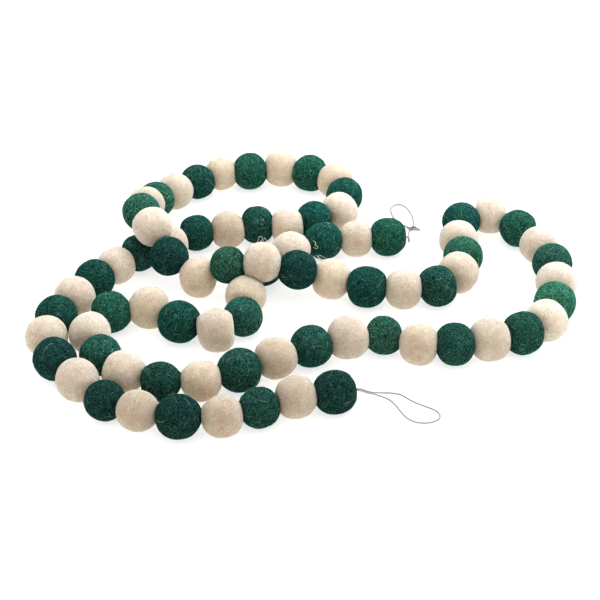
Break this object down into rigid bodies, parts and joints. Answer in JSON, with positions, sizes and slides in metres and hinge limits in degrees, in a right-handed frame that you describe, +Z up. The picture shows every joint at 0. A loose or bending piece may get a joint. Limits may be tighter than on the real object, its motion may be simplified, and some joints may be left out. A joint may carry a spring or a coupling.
{
  "type": "felt ball garland",
  "caption": "Garland of round wool felt balls, green and cream by turns, strung on a cotton thread with a hanging loop at each end, lying in loose loops.",
  "frame": {"origin": "on the surface that the garland lies on, under the middle of the outline of its balls", "axes": "+Z up from the surface; +X to the right of the picture, along the longer side of the outline; +Y away from the camera"},
  "size_m": [0.3338, 0.2941, 0.0458],
  "materials": {
    "green_felt": "matte wool felt, hairy",
    "cream_felt": "matte wool felt, hairy",
    "cotton_thread": "matte twisted cotton"
  },
  "bodies": {
    "root": {"green_ball_01": "green_felt", "green_ball_03": "green_felt", "green_ball_05": "green_felt", "green_ball_07": "green_felt", "green_ball_09": "green_felt", "green_ball_11": "green_felt", "green_ball_13": "green_felt", "green_ball_15": "green_felt", "green_ball_17": "green_felt", "green_ball_19": "green_felt", "green_ball_21": "green_felt", "green_ball_23": "green_felt", "green_ball_25": "green_felt", "green_ball_27": "green_felt", "green_ball_29": "green_felt", "green_ball_31": "green_felt", "green_ball_33": "green_felt", "green_ball_35": "green_felt", "green_ball_37": "green_felt", "green_ball_39": "green_felt", "green_ball_41": "green_felt", "green_ball_43": "green_felt", "green_ball_45": "green_felt", "green_ball_47": "green_felt", "green_ball_49": "green_felt", "green_ball_51": "green_felt", "green_ball_53": "green_felt", "green_ball_55": "green_felt", "green_ball_57": "green_felt", "green_ball_59": "green_felt", "green_ball_61": "green_felt", "green_ball_63": "green_felt", "green_ball_65": "green_felt", "green_ball_67": "green_felt", "green_ball_69": "green_felt", "green_ball_71": "green_felt", "green_ball_73": "green_felt", "green_ball_75": "green_felt", "green_ball_77": "green_felt", "green_ball_79": "green_felt", "cream_balls_02_04_06": "cream_felt", "cream_balls_08_10_12": "cream_felt", "cream_balls_14_16_18": "cream_felt", "cream_balls_20_22_24": "cream_felt", "cream_balls_26_28_30": "cream_felt", "cream_balls_32_34_36": "cream_felt", "cream_balls_38_40_42": "cream_felt", "cream_balls_44_46_48": "cream_felt", "cream_balls_50_52_54": "cream_felt", "cream_balls_56_58_60": "cream_felt", "cream_balls_62_64_66": "cream_felt", "cream_balls_68_70_72": "cream_felt", "cream_balls_74_76_78": "cream_felt", "near_loop": "cotton_thread", "far_strand": "cotton_thread", "far_loop": "cotton_thread", "far_knot": "cotton_thread"}
  },
  "joints": []
}
